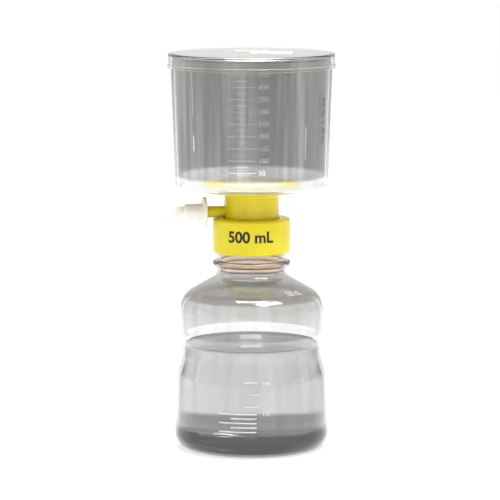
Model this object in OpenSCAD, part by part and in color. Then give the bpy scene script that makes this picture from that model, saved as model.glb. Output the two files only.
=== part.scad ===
// Vacuum filtration unit: a clear upper chamber with a membrane on its floor, a
// funnel base with a side arm for the vacuum hose, and a clear receiver bottle
// that the whole head screws onto.
// Origin: centre of the ring that the bottle stands on. +Z runs up the axis and the
// side arm points along -X.

/* [Receiver bottle] */
// Outer radius of the bottle at its foot, before the heel is rounded
bottle_r = 48.4; // [46.5:0.1:52]
// Wall thickness of the bottle
bottle_wall = 1.5; // [1.2:0.1:1.8]
// Rounding radius of the heel
heel_r = 10.3; // [6:0.1:11]
// How far the middle of the bottle's underside is pushed up
push_up = 2.6; // [1:0.1:4]
// Radius of the pushed-up flat
push_up_r = 24; // [15:1:28]
// Inner radius of the ring that the bottle stands on
foot_r = 32; // [30:0.5:34]
// Outer radius of the lower body at its top edge
body_top_r = 46.3; // [45:0.1:47]
// Height of the lower body's top edge
lower_body_h = 47.5; // [40:0.5:55]
// Outer radius of the waist
waist_r = 43.2; // [41:0.1:44]
// Height of the step from the lower body in to the waist
step_h = 10.5; // [8:0.5:14]
// Height of the waist
waist_h = 12; // [8:0.5:16]
// Height of the flare from the waist out to the chest
flare_h = 16; // [12:0.5:20]
// Outer radius of the chest, under the shoulder
chest_r = 44.6; // [44:0.1:47]
// Height of the chest's straight band, between flare and shoulder
chest_h = 0.5; // [0.3:0.1:5]
// Slope of the shoulder above the horizontal, in degrees
shoulder_slope = 29.7; // [22:0.1:40]
// Rounding radius between chest and shoulder
shoulder_round = 13.8; // [10:0.1:15]
// Outer radius of the bottle's neck, at the root of its thread
neck_r = 21; // [20.5:0.1:22]
// Height of the neck, from the shoulder to the lip
neck_h = 29.6; // [28:0.1:34]
// How far the support bead under the collar stands out from the neck
bead_out = 3.2; // [2.5:0.1:4.5]
// Height of the support bead
bead_h = 3.6; // [3:0.1:4]
// Height of the bead's middle above the foot of the neck
bead_rise = 7.2; // [6:0.1:7.5]
// Depth of the filtrate in the bottle
filtrate_h = 65.2; // [20:0.1:75]

/* [Neck thread] */
// Rise of the thread in one turn
thread_pitch = 4.2; // [4:0.1:5]
// How far the thread stands out from the neck
thread_h = 1.1; // [0.8:0.1:1.2]
// Width of the thread at its root
thread_w = 1.9; // [1.6:0.1:2]
// Number of turns of the bottle's thread
thread_turns = 1.5; // [1:0.25:2]

/* [Collar] */
// Wall thickness of the threaded collar
collar_wall = 1.4; // [1.2:0.1:3]
// Height of the threaded collar
collar_h = 21.4; // [20:0.1:22]
// Thickness of the collar's ceiling
collar_ceiling = 1.8; // [1.2:0.1:2.4]
// Rounding radius of the collar's upper edge
collar_top_round = 1.8; // [0.5:0.1:2]
// Rounding radius of the collar's lower edge
collar_low_round = 1; // [0.3:0.1:1.1]

/* [Seal and outlet] */
// Thickness of the gasket on the bottle's lip
gasket_t = 1.5; // [1:0.1:2]
// Width of the gasket's ring
gasket_w = 2.9; // [2:0.1:3.4]
// Thickness of the seal flange that presses on the gasket
seal_t = 2; // [1.5:0.1:2.5]
// How far the edge of the seal flange stays inside the neck's outer face
seal_inset = 0.6; // [0.2:0.1:1]
// Wall thickness of the sleeve that holds the seal flange in the stem
seal_sleeve_t = 2.05; // [1.6:0.05:3.6]
// Length of the sleeve
seal_sleeve_h = 3; // [2:0.1:3.4]
// Outer radius of the drain tube
drain_r = 5.5; // [5:0.1:6.5]
// Wall thickness of the drain tube
drain_wall = 1.3; // [1:0.1:1.8]
// How far the drain tube reaches below the bottle's lip
drain_drop = 12; // [8:0.5:18]

/* [Funnel base] */
// Outer radius of the stem at its foot
stem_foot_r = 17.2; // [17:0.1:17.6]
// Outer radius of the stem at its head
stem_head_r = 16.7; // [16.5:0.1:17.2]
// Wall thickness of the stem
stem_wall = 2; // [1.8:0.1:2.4]
// Height of the stem, from the seal flange to the flange's cone
stem_h = 16.7; // [16:0.1:22]
// Outer radius of the flange under the chamber
flange_r = 29.9; // [29:0.1:31]
// Thickness of the flange at its rim
flange_t = 2.7; // [1.2:0.1:3]
// Height of the cone under the flange
flange_cone_h = 2; // [1.5:0.1:3]

/* [Side arm] */
// Outer radius of the side arm
arm_r = 3.6; // [3.4:0.1:3.8]
// Radius of the side arm's bore
arm_bore_r = 2.1; // [1.8:0.1:2.3]
// Distance of the side arm's mouth from the axis
arm_reach = 39; // [37:0.5:44]
// Length of the porous plug in the side arm
vent_plug_l = 6; // [4:0.5:8]

/* [Tubing adapter] */
// Radius of the adapter's finger flange
grip_r = 9.2; // [8:0.1:10]
// Thickness of the finger flange
grip_t = 2.4; // [1.8:0.1:3]
// Gap between the collar and the finger flange
grip_gap = 4.2; // [3:0.1:6]
// Outer radius of the adapter's socket
socket_r = 5.15; // [5:0.05:5.6]
// Thickness of the socket's end, past the mouth of the side arm
socket_end_t = 3; // [2:0.1:7]
// Radius of the hose spigot
spigot_r = 3.5; // [3.2:0.1:4]
// Radius of the air passage through the spigot
spigot_bore_r = 2.2; // [1.8:0.1:2.4]
// Length of the hose spigot
spigot_l = 8.8; // [7:0.1:12]

/* [Upper chamber] */
// Outer radius of the chamber at its foot
chamber_foot_r = 47.3; // [46.5:0.1:47.5]
// Outer radius of the chamber at its rim
chamber_rim_r = 50.2; // [49.8:0.1:51]
// Height of the chamber
chamber_h = 81.4; // [60:0.1:110]
// Wall thickness of the chamber
chamber_wall = 1.6; // [1.3:0.1:1.8]
// Thickness of the chamber's floor
chamber_floor = 1.2; // [1:0.1:1.6]
// Rounding radius outside the chamber's foot
chamber_round = 3; // [3:0.1:4]
// Radius of the opening in the chamber's floor
outlet_r = 26; // [25:0.1:27]
// Number of drain grooves in the floor
groove_count = 24; // [12:4:32]
// Radius of the circle that the four membrane studs stand on
stud_circle_r = 32.4; // [31:0.1:36]
// Radius of a membrane stud
stud_r = 0.6; // [0.5:0.1:0.8]
// Height of a membrane stud above the floor
stud_h = 1.3; // [0.8:0.1:2]

/* [Membrane and its grid] */
// Gap between the membrane's edge and the chamber's wall
membrane_margin = 2.7; // [2.4:0.1:6]
// Thickness of the membrane
membrane_t = 0.3; // [0.2:0.05:0.5]
// Number of hole rings in the support grid
grid_rings = 4; // [2:1:4]
// Radius of a hole in the support grid
grid_hole_r = 1.4; // [1:0.1:1.6]

/* [Lid] */
// Wall thickness of the lid's skirt
lid_wall = 1.1; // [1:0.1:2.4]
// Height of the lid
lid_h = 9; // [6:0.1:14]
// Thickness of the lid's top
lid_top_t = 1.6; // [1.2:0.1:2]
// Rounding radius of the lid's upper edge
lid_round = 2.2; // [1.6:0.1:2.6]
// How far the bead on the skirt's edge stands out
lid_bead = 0.4; // [0.2:0.05:0.6]
// Height of the bead on the skirt's edge
lid_bead_h = 2; // [1.5:0.1:2.5]
// Depth of the ring that keeps the lid centred in the chamber
lid_ring_h = 2.2; // [1:0.1:3]
// Wall thickness of that ring
lid_ring_t = 1; // [0.8:0.1:2]

/* [Fits] */
// Gap between faces that slip past each other by hand
slip_gap = 0.3; // [0.2:0.05:0.4]
// Gap between the thread's crest and the collar's wall
thread_gap = 0.5; // [0.4:0.05:0.7]
// Gap between glued or resting pieces that fit inside each other
seat_gap = 0.05; // [0.03:0.01:0.1]

/* [Hidden] */
$fn = 96;
// Flats that an arc in an outline is made of
arc_steps = 8;
// A cut runs this far past the face that it opens
over = 1;

// Roundings in the bottle's wall: at the step, at both ends of the flare, and
// where the shoulder meets the neck
step_round = 7;
flare_round = 20;
neck_round = 5;
// The bottle's thread runs out this far below the lip
thread_start = 2.5;
// The porous plug lies this far inside the arm's mouth
plug_inset = 1;

// Length of wall that a rounding takes up on each side of a bend
function bend_run(r, bend) = r * tan(abs(bend) / 2);

// Heights of the bottle's sections, from the foot up
step_z = lower_body_h + step_h;
flare_z = step_z + waist_h;
chest_z = flare_z + flare_h;
shoulder_z = chest_z + bend_run(flare_round, atan2(chest_r - waist_r, flare_h)) + chest_h
             + bend_run(shoulder_round, 90 - shoulder_slope);
neck_z = shoulder_z + (chest_r - neck_r) * tan(shoulder_slope);
lip_z = neck_z + neck_h;
bead_z = neck_z + bead_rise;
bead_r = neck_r + bead_out;
thread_z = lip_z - thread_start - thread_turns * thread_pitch;

// The collar round the neck, and the seal on the lip
collar_bore_r = neck_r + thread_h + thread_gap;
collar_r = collar_bore_r + collar_wall;
seal_r = neck_r - seal_inset;
gasket_bore_r = seal_r - gasket_w;

// What stands on the lip: gasket, seal flange, collar's ceiling and side arm
seal_z = lip_z + gasket_t;
stem_z = seal_z + seal_t;
collar_top = stem_z + slip_gap + collar_ceiling;
collar_z = collar_top - collar_h;
arm_z = collar_top + slip_gap + arm_r;
grip_x = collar_r + grip_gap;
socket_end = arm_reach + socket_end_t;

// The funnel base and the chamber on it
stem_top = stem_z + stem_h;
stem_bore_r = stem_head_r - stem_wall;
sleeve_r = stem_bore_r - seat_gap;
seal_bore_r = sleeve_r - seal_sleeve_t;
drain_bore_r = drain_r - drain_wall;
flange_z = stem_top + flange_cone_h;
chamber_z = flange_z + flange_t;
floor_z = chamber_z + chamber_floor;
rim_z = chamber_z + chamber_h;
lid_top_z = rim_z + lid_top_t;
lid_z = lid_top_z - lid_h;
rim_bore_r = chamber_rim_r - chamber_wall;
foot_bore_r = chamber_foot_r - chamber_wall;
membrane_r = foot_bore_r - membrane_margin;
skirt_bore_r = chamber_rim_r + slip_gap;
lid_r = skirt_bore_r + lid_wall;
ring_r = rim_bore_r - slip_gap;

// Steps in one turn of a thread, and the angle that each laps the next by
thread_steps = 24;
step_lap = 2;
// Ledge of the funnel base that the support grid rests on
grid_ledge = 1.5;
// The studs stand between the drain grooves
stud_count = 4;
stud_angle = 24;
groove_w = 1.2;
groove_depth = 0.5;

function unit(v) = v / norm(v);
function back(list) = [for (i = [len(list) - 1 : -1 : 0]) list[i]];

// Arc that rounds the corner at b, between a and c, with radius r
function corner_arc(a, b, c, r) =
    let (u = unit(a - b),
         v = unit(c - b),
         half = acos(u * v) / 2,
         centre = b + unit(u + v) * r / sin(half),
         from = b + u * r / tan(half) - centre,
         to = b + v * r / tan(half) - centre,
         start = atan2(from.y, from.x),
         turn = atan2(to.y, to.x) - start,
         sweep = turn > 180 ? turn - 360 : turn < -180 ? turn + 360 : turn)
    [for (i = [0 : arc_steps])
        centre + r * [cos(start + sweep * i / arc_steps), sin(start + sweep * i / arc_steps)]];

// Outline through corners [radius, height, rounding]; a rounding of 0 is a sharp corner
function spot(p) = [p[0], p[1]];
function rounded(path) =
    [for (i = [0 : len(path) - 1])
        each path[i][2] == 0
            ? [spot(path[i])]
            : corner_arc(spot(path[i - 1]), spot(path[i]), spot(path[i + 1]), path[i][2])];

// The same open outline, moved to its left side by w
function left_of(a, b) = let (d = unit(b - a)) [-d.y, d.x];
function moved_left(path, w) =
    [for (i = [0 : len(path) - 1])
        let (first = max(i, 1),
             last = min(i, len(path) - 2),
             n0 = left_of(spot(path[first - 1]), spot(path[first])),
             n1 = left_of(spot(path[last]), spot(path[last + 1])),
             p = spot(path[i]) + w * (n0 + n1) / (1 + n0 * n1),
             bend = n0.x * n1.y - n0.y * n1.x > 0 ? -w : w)
        [p.x, p.y, path[i][2] == 0 ? 0 : path[i][2] + bend]];

// The bottle's outer outline, from the middle of its underside to its lip
bottle_path = [
    [0, push_up, 0],
    [push_up_r, push_up, 0],
    [foot_r, 0, 0],
    [bottle_r, 0, heel_r],
    [body_top_r, lower_body_h, step_round],
    [waist_r, step_z, step_round],
    [waist_r, flare_z, flare_round],
    [chest_r, chest_z, flare_round],
    [chest_r, shoulder_z, shoulder_round],
    [neck_r, neck_z, neck_round],
    [neck_r, lip_z, 0],
];

module turned(points) rotate_extrude() polygon(points);

// Ring between two radii and two heights, with its outer edges rounded
module ring(r0, r1, z0, z1, low = 0, top = 0)
    turned(rounded([[r0, z0, 0], [r1, z0, low], [r1, z1, top], [r0, z1, 0]]));

// Round things on the side arm's axis, from distance x0 to x1 from the unit's axis
module on_arm(x0) translate([0, 0, arm_z]) rotate([0, -90, 0]) translate([0, 0, x0]) children();

// A thread's ridge: short level steps that climb with the pitch, each lapping the next
module thread_ridge(root_r, crest_r, z) {
    for (i = [0 : thread_turns * thread_steps - 1])
        rotate([0, 0, i * 360 / thread_steps])
            translate([0, 0, z + i * thread_pitch / thread_steps])
                rotate_extrude(angle = 360 / thread_steps + step_lap)
                    polygon([[root_r, -thread_w / 2], [crest_r, -thread_w / 4],
                             [crest_r, thread_w / 4], [root_r, thread_w / 2]]);
}

module receiver_bottle()
    color([0.86, 0.88, 0.88, 0.35]) union() {
        turned(concat(rounded(bottle_path), back(rounded(moved_left(bottle_path, bottle_wall)))));
        ring(neck_r - bottle_wall / 2, bead_r, bead_z - bead_h / 2, bead_z + bead_h / 2,
             bead_h * 0.45, bead_h * 0.45);
        thread_ridge(neck_r - bottle_wall / 2, neck_r + thread_h, thread_z);
    }

module filtrate()
    color([0.9, 0.93, 0.93, 0.5]) intersection() {
        turned(concat(rounded(moved_left(bottle_path, bottle_wall + seat_gap)), [[0, lip_z]]));
        cylinder(h = filtrate_h, r = bottle_r);
    }

module neck_gasket()
    color("white") ring(gasket_bore_r, seal_r, lip_z, seal_z);

module threaded_collar()
    color("yellow") union() {
        difference() {
            ring(0, collar_r, collar_z, collar_top, collar_low_round, collar_top_round);
            translate([0, 0, collar_z - over])
                cylinder(h = collar_h - collar_ceiling + over, r = collar_bore_r);
            translate([0, 0, collar_z]) cylinder(h = collar_h + over, r = stem_foot_r + slip_gap);
        }
        thread_ridge(collar_bore_r + (collar_r - collar_bore_r) / 2, neck_r + slip_gap,
                     thread_z - thread_pitch / 2);
    }

module seal_flange()
    color("gold") union() {
        ring(seal_bore_r, seal_r, seal_z, stem_z);
        ring(seal_bore_r, sleeve_r, seal_z, stem_z + seal_sleeve_h);
    }

module funnel_base() {
    drain_z = lip_z - drain_drop;
    bowl_z = stem_top - drain_wall;
    color("gold") difference() {
        union() {
            turned(rounded([[0, drain_z, 0], [drain_r, drain_z, 0], [drain_r, stem_z, 0],
                            [stem_foot_r, stem_z, 0], [stem_head_r, stem_top, 1.2],
                            [flange_r, flange_z, 0.6], [flange_r, chamber_z, 0],
                            [0, chamber_z, 0]]));
            on_arm(stem_bore_r) cylinder(h = arm_reach - stem_bore_r, r = arm_r);
        }
        // the bowl under the support grid, and the drain
        turned([[0, drain_z - over], [drain_bore_r, drain_z - over], [drain_bore_r, bowl_z],
                [outlet_r - grid_ledge, chamber_z], [0, chamber_z]]);
        // the air space round the drain, which the side arm opens into
        turned([[drain_r, stem_z - over], [stem_bore_r, stem_z - over],
                [stem_bore_r, bowl_z + drain_wall / 2], [drain_r, bowl_z - drain_wall]]);
        on_arm(stem_bore_r - over) cylinder(h = arm_reach - stem_bore_r + 2 * over, r = arm_bore_r);
        // the slanted tip of the drain
        translate([0, 0, drain_z]) rotate([0, 30, 0]) translate([-drain_r * 2, -drain_r * 2, -drain_r * 4])
            cube([drain_r * 4, drain_r * 4, drain_r * 4]);
    }
}

module vent_plug()
    color("white") on_arm(arm_reach - vent_plug_l - plug_inset)
        cylinder(h = vent_plug_l, r = arm_bore_r - seat_gap);

module tubing_adapter() {
    socket_l = arm_reach + seat_gap - grip_x;
    color("ivory") on_arm(grip_x) difference() {
        turned(rounded([[0, 0, 0], [grip_r, 0, 0.5], [grip_r, grip_t, 0.9],
                        [socket_r, grip_t, 0.4], [socket_r, socket_end - grip_x, 1],
                        [spigot_r, socket_end - grip_x, 0.3],
                        [spigot_r, socket_end - grip_x + spigot_l, 0.4],
                        [0, socket_end - grip_x + spigot_l, 0]]));
        translate([0, 0, -over]) cylinder(h = socket_l + over, r = arm_r + seat_gap);
        cylinder(h = socket_end + spigot_l, r = spigot_bore_r);
    }
}

module upper_chamber()
    color([0.8, 0.82, 0.82, 0.35]) difference() {
        union() {
            turned(rounded([[outlet_r, chamber_z, 0], [chamber_foot_r, chamber_z, chamber_round],
                            [chamber_rim_r, rim_z, 0.5], [rim_bore_r, rim_z, 0.5],
                            [foot_bore_r, floor_z, chamber_round - chamber_wall],
                            [outlet_r, floor_z, 0]]));
            for (i = [0 : stud_count - 1])
                rotate([0, 0, stud_angle + i * 360 / stud_count])
                    translate([stud_circle_r, 0, chamber_z])
                        cylinder(h = chamber_floor + stud_h, r = stud_r);
        }
        for (i = [0 : groove_count - 1])
            rotate([0, 0, i * 360 / groove_count])
                translate([outlet_r - over, -groove_w / 2, floor_z - groove_depth])
                    cube([membrane_r - outlet_r - over, groove_w, groove_depth + over]);
    }

module support_grid() {
    grid_r = outlet_r - seat_gap;
    ring_step = (outlet_r - grid_ledge - grid_hole_r * 2) / grid_rings;
    color("white") difference() {
        ring(0, grid_r, chamber_z, floor_z);
        for (k = [0 : grid_rings])
            for (i = [0 : max(6 * k, 1) - 1])
                rotate([0, 0, i * 360 / max(6 * k, 1)])
                    translate([k * ring_step, 0, chamber_z - over])
                        cylinder(h = chamber_floor + 2 * over, r = grid_hole_r);
    }
}

module membrane()
    color("white") difference() {
        ring(0, membrane_r, floor_z, floor_z + membrane_t);
        for (i = [0 : stud_count - 1])
            rotate([0, 0, stud_angle + i * 360 / stud_count])
                translate([stud_circle_r, 0, floor_z - over])
                    cylinder(h = membrane_t + 2 * over, r = stud_r + seat_gap);
    }

module lid()
    color([0.8, 0.82, 0.8, 0.35]) union() {
        turned(rounded([[0, rim_z, 0], [skirt_bore_r, rim_z, 0.4], [skirt_bore_r, lid_z, 0],
                        [lid_r + lid_bead, lid_z, lid_bead],
                        [lid_r + lid_bead, lid_z + lid_bead_h, lid_bead],
                        [lid_r, lid_z + lid_bead_h, 0], [lid_r, lid_top_z, lid_round],
                        [0, lid_top_z, 0]]));
        ring(ring_r - lid_ring_t, ring_r, rim_z - lid_ring_h, rim_z);
    }

receiver_bottle();
filtrate();
neck_gasket();
threaded_collar();
seal_flange();
funnel_base();
vent_plug();
tubing_adapter();
upper_chamber();
support_grid();
membrane();
lid();
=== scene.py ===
"""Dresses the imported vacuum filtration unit: clear bottle and chamber, yellow funnel and collar.

Sizes are in millimetres from the foot of the bottle and are turned into metres where a
mesh is made. The unit's axis is Z, and its side arm points along -X. What is printed or
raised on a wall is placed as if the wall faced -Y, and then turned to the unit's front.
"""

import logging
import math
from dataclasses import dataclass
from enum import Enum
from typing import Any, Iterable, Sequence

import bmesh
import bpy
from bpy.types import Material, Mesh, Node, NodeSocket, NodeTree, Object
from mathutils import Matrix, Vector


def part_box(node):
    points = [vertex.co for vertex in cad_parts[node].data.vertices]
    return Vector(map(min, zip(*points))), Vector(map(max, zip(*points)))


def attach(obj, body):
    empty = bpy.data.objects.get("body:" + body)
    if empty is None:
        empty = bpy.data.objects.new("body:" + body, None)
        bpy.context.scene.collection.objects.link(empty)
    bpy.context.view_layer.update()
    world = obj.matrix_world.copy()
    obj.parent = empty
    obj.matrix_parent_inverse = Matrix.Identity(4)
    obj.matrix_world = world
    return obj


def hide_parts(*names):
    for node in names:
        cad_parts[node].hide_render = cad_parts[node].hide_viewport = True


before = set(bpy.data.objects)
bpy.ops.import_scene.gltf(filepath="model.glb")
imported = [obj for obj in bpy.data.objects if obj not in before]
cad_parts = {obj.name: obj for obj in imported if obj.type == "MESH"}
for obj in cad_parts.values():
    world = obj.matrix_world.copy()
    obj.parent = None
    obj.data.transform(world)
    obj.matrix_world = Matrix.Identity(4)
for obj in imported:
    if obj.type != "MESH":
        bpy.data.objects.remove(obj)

LOG = logging.getLogger("filtration_unit")
MM = 0.001
LOW, HIGH = 0, 1


def cad_end(node: str, end: int, axis: str) -> float:
    """Returns where a CAD node starts (LOW) or ends (HIGH) along x, y or z."""
    return getattr(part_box(node)[end], axis) / MM


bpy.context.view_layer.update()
FRONT = -7.0  # how far the unit's front is turned from -Y, in degrees
ARM_Z = 147.95  # height of the side arm and of the adapter on it
RIM_Z = cad_end("upper_chamber", HIGH, "z")
WATER_Z = 65.2  # height of the filtrate
FLANGE_R = 29.9  # radius of the flange under the chamber
INK_GAP = 0.01  # how far the middle of printed ink lies outside its wall


class Body(Enum):
    """The moving groups of the unit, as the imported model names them."""

    BOTTLE = "bottle"
    HEAD = "head"
    COLLAR = "collar"
    LID = "lid"
    ADAPTER = "adapter"


class Slot(Enum):
    """The record's finishes, named beside the new pieces; nothing in the script reads them."""

    BOTTLE = "clear_bottle"
    LIQUID = "liquid"
    LEMON = "lemon_plastic"
    MUSTARD = "mustard_plastic"
    IVORY = "ivory_plastic"
    CHAMBER = "clear_chamber"
    LID = "clear_lid"


def linear(colour: str) -> tuple[float, float, float, float]:
    """Turns an sRGB hex colour into the linear values that shaders take.

    Args:
        colour: six hex digits with a leading #.

    Returns:
        Linear red, green and blue, and an alpha of 1.
    """
    parts = [int(colour[i : i + 2], 16) / 255 for i in (1, 3, 5)]
    made = [c / 12.92 if c <= 0.04045 else ((c + 0.055) / 1.055) ** 2.4 for c in parts]
    return made[0], made[1], made[2], 1.0


def add_node(tree: NodeTree, kind: str, links: Any = (), **settings: Any) -> Node:
    """Adds a node with its settings, and sets or links its inputs.

    Args:
        tree: the node tree it goes into.
        kind: the node's class name, such as ShaderNodeMath.
        links: its inputs in their order, or by name or index. A node stands for its first
            output, a socket is linked, and anything else is the input's value.
        **settings: the node's own settings, such as operation.

    Returns:
        The new node.
    """
    made = tree.nodes.new(kind)
    for name, value in settings.items():
        setattr(made, name, value)
    for key, value in (links if isinstance(links, dict) else dict(enumerate(links))).items():
        if isinstance(value, Node):
            value = value.outputs[0]
        if isinstance(value, NodeSocket):
            tree.links.new(value, made.inputs[key])
        else:
            made.inputs[key].default_value = value
    return made


# ---------------------------------------------------------------- outlines and meshes

SAME = 1e-7  # points nearer than this, in metres, are one point
ON_AXIS = 1e-6  # points nearer to the axis than this, in millimetres, lie on it


@dataclass(frozen=True)
class Corner:
    """A corner of an outline: its distance from the axis, its height and its rounding."""

    r: float
    z: float
    round: float = 0.0

    def at(self) -> Vector:
        """Returns the corner as a point."""
        return Vector((self.r, self.z))


def rounded(corners: Sequence[Corner], closed: bool, steps: int = 8) -> list[Vector]:
    """Rounds an outline's corners into arcs.

    Args:
        corners: the outline's corners in order.
        closed: whether the last corner joins the first.
        steps: how many flats an arc of a quarter turn gets.

    Returns:
        The outline's points in order.
    """
    points: list[Vector] = []
    count = len(corners)
    for i, corner in enumerate(corners):
        here = corner.at()
        if corner.round <= 0 or (not closed and i in (0, count - 1)):
            points.append(here)
            continue
        u = (corners[i - 1].at() - here).normalized()
        v = (corners[(i + 1) % count].at() - here).normalized()
        half = math.acos(max(-1.0, min(1.0, u.dot(v)))) / 2
        centre = here + (u + v).normalized() * corner.round / math.sin(half)
        first = here + u * corner.round / math.tan(half) - centre
        last = here + v * corner.round / math.tan(half) - centre
        start = math.atan2(first.y, first.x)
        turn = math.atan2(last.y, last.x) - start
        turn -= math.tau * round(turn / math.tau)
        flats = max(2, math.ceil(abs(turn) / (math.pi / 2) * steps))
        for k in range(flats + 1):
            a = start + turn * k / flats
            points.append(centre + Vector((math.cos(a), math.sin(a))) * corner.round)
    return points


def moved_left(corners: Sequence[Corner], width: float) -> list[Corner]:
    """Moves an open outline to its left side, as a wall's inner face lies from its outer one.

    Args:
        corners: the outline's corners in order.
        width: how far each side moves.

    Returns:
        The moved corners, with their roundings matched.
    """
    made: list[Corner] = []
    for i, corner in enumerate(corners):
        a, b = max(i, 1), min(i, len(corners) - 2)
        d0 = (corners[a].at() - corners[a - 1].at()).normalized()
        d1 = (corners[b + 1].at() - corners[b].at()).normalized()
        n0, n1 = Vector((-d0.y, d0.x)), Vector((-d1.y, d1.x))
        p = corner.at() + (n0 + n1) * width / (1 + n0.dot(n1))
        bend = -width if n0.x * n1.y - n0.y * n1.x > 0 else width
        made.append(Corner(p.x, p.y, max(corner.round + bend, 0.05) if corner.round else 0.0))
    return made


def new_object(name: str, mesh: Mesh, material: Material | None = None) -> Object:
    """Makes an object for a mesh and puts it into the scene.

    Args:
        name: the piece's name.
        mesh: its mesh, with its place in it.
        material: the finish of all of it, if it has one.

    Returns:
        The new object.
    """
    mesh.name = name
    made = bpy.data.objects.new(name, mesh)
    bpy.context.scene.collection.objects.link(made)
    if material is not None:
        mesh.materials.clear()
        mesh.materials.append(material)
    return made


def turned(outline: Sequence[Vector], segments: int = 192, ring: bool = False) -> Mesh:
    """Turns an outline round the axis into a closed, smooth mesh.

    Args:
        outline: points of distance and height; it starts and ends on the axis, or is a ring.
        segments: how many steps make a full turn.
        ring: whether the outline's last point joins its first.

    Returns:
        The mesh, in metres, with its faces outwards.
    """
    work = bmesh.new()
    rows: list[list[bmesh.types.BMVert]] = []
    angles = [math.tau * k / segments for k in range(segments)]
    for p in outline:
        r, z = p.x * MM, p.y * MM
        if p.x < ON_AXIS:
            rows.append([work.verts.new((0, 0, z))])
        else:
            rows.append([work.verts.new((r * math.cos(a), r * math.sin(a), z)) for a in angles])
    pairs = list(zip(rows, rows[1:] + rows[:1])) if ring else list(zip(rows, rows[1:]))
    for low, high in pairs:
        for k in range(segments):
            n = (k + 1) % segments
            corners = [low[k % len(low)], low[n % len(low)], high[n % len(high)], high[k % len(high)]]
            unique = list(dict.fromkeys(corners))
            if len(unique) > 2:
                work.faces.new(unique)
    bmesh.ops.recalc_face_normals(work, faces=work.faces)
    mesh = bpy.data.meshes.new("turned")
    work.to_mesh(mesh)
    work.free()
    if volume(mesh) < 0:
        mesh.flip_normals()
    smooth(mesh)
    return mesh


def volume(mesh: Mesh) -> float:
    """Measures a closed mesh.

    Args:
        mesh: the mesh.

    Returns:
        Its volume in cubic metres, negative where its faces point inwards.
    """
    work = bmesh.new()
    work.from_mesh(mesh)
    found = work.calc_volume(signed=True)
    work.free()
    return found


def smooth(mesh: Mesh, angle: float = 32.0) -> None:
    """Shades a mesh smooth, but for its sharp edges.

    Args:
        mesh: the mesh to shade.
        angle: edges that bend more than this, in degrees, stay sharp.
    """
    mesh.shade_smooth()
    mesh.set_sharp_from_angle(angle=math.radians(angle))


def cut(target: Object, other: Object, operation: str) -> None:
    """Joins or cuts a piece with another closed one, and removes the other.

    Args:
        target: the piece that stays.
        other: the piece that it is joined with or cut by.
        operation: UNION or DIFFERENCE.
    """
    step = target.modifiers.new("cut", "BOOLEAN")
    step.operation, step.solver, step.object = operation, "EXACT", other
    bake(target)
    bpy.data.objects.remove(other)


def bake(target: Object) -> None:
    """Turns a piece with its modifiers into a plain mesh, and removes the modifiers.

    Args:
        target: the piece.
    """
    graph = bpy.context.evaluated_depsgraph_get()
    graph.update()
    mesh = bpy.data.meshes.new_from_object(target.evaluated_get(graph), depsgraph=graph)
    target.modifiers.clear()
    target.data = mesh


def joined(name: str, parts: Sequence[Object]) -> Object:
    """Joins pieces of one body and one finish into one mesh.

    Args:
        name: the new piece's name.
        parts: the pieces, the first of which gives the finish.

    Returns:
        The joined piece.
    """
    work = bmesh.new()
    for part in parts:
        work.from_mesh(part.data)
    mesh = bpy.data.meshes.new(name)
    work.to_mesh(mesh)
    work.free()
    material = parts[0].data.materials[0] if parts[0].data.materials else None
    for part in parts:
        bpy.data.objects.remove(part)
    return new_object(name, mesh, material)


def outward(mesh: Mesh) -> None:
    """Merges a closed mesh's doubles and turns its faces outwards.

    Args:
        mesh: the mesh.
    """
    work = bmesh.new()
    work.from_mesh(mesh)
    bmesh.ops.remove_doubles(work, verts=work.verts, dist=SAME)
    bmesh.ops.recalc_face_normals(work, faces=work.faces)
    work.to_mesh(mesh)
    work.free()
    if volume(mesh) < 0:
        mesh.flip_normals()


def grow_on(target: Object, part: Object) -> None:
    """Joins a part that a tree has grown to a piece, and shades the whole smooth.

    Args:
        target: the piece that stays.
        part: the part that becomes one with it.
    """
    outward(part.data)
    cut(target, part, "UNION")
    smooth(target.data)


# ---------------------------------------------------------------- geometry nodes


class GeometryTree:
    """A Geometry Nodes tree with named inputs, run once on a piece."""

    def __init__(self, name: str, **inputs: float) -> None:
        """Starts the tree.

        Args:
            name: the tree's name.
            **inputs: each input's name and its value, a whole number where it counts things.
        """
        self.tree = bpy.data.node_groups.new(name, "GeometryNodeTree")
        self.tree.interface.new_socket("Geometry", in_out="INPUT", socket_type="NodeSocketGeometry")
        self.values: dict[str, float] = {}
        for key, value in inputs.items():
            kind = "NodeSocketInt" if isinstance(value, int) else "NodeSocketFloat"
            socket = self.tree.interface.new_socket(key, in_out="INPUT", socket_type=kind)
            self.values[socket.identifier] = value
        self.tree.interface.new_socket("Geometry", in_out="OUTPUT", socket_type="NodeSocketGeometry")
        self.start = self.tree.nodes.new("NodeGroupInput")

    def given(self, name: str) -> NodeSocket:
        """Returns the socket of a named input."""
        return self.start.outputs[name]

    def run(self, piece: Object, shape: Node, material: Material) -> Object:
        """Ends the tree, runs it on a piece and makes the result a plain mesh.

        Args:
            piece: the object that the modifier goes on.
            shape: the node that gives the finished geometry.
            material: the finish of all of it.

        Returns:
            The same piece, as a plain mesh.
        """
        real = add_node(self.tree, "GeometryNodeRealizeInstances", (shape,))
        done = add_node(self.tree, "GeometryNodeSetMaterial", {"Geometry": real, "Material": material})
        add_node(self.tree, "NodeGroupOutput", (done,))
        step = piece.modifiers.new("grown", "NODES")
        step.node_group = self.tree
        for identifier, value in self.values.items():
            step[identifier] = value
        bake(piece)
        piece.data.materials.clear()
        piece.data.materials.append(material)
        return piece


def empty_piece(name: str) -> Object:
    """Returns a new piece with an empty mesh, for a tree to fill."""
    return new_object(name, bpy.data.meshes.new(name))


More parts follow.
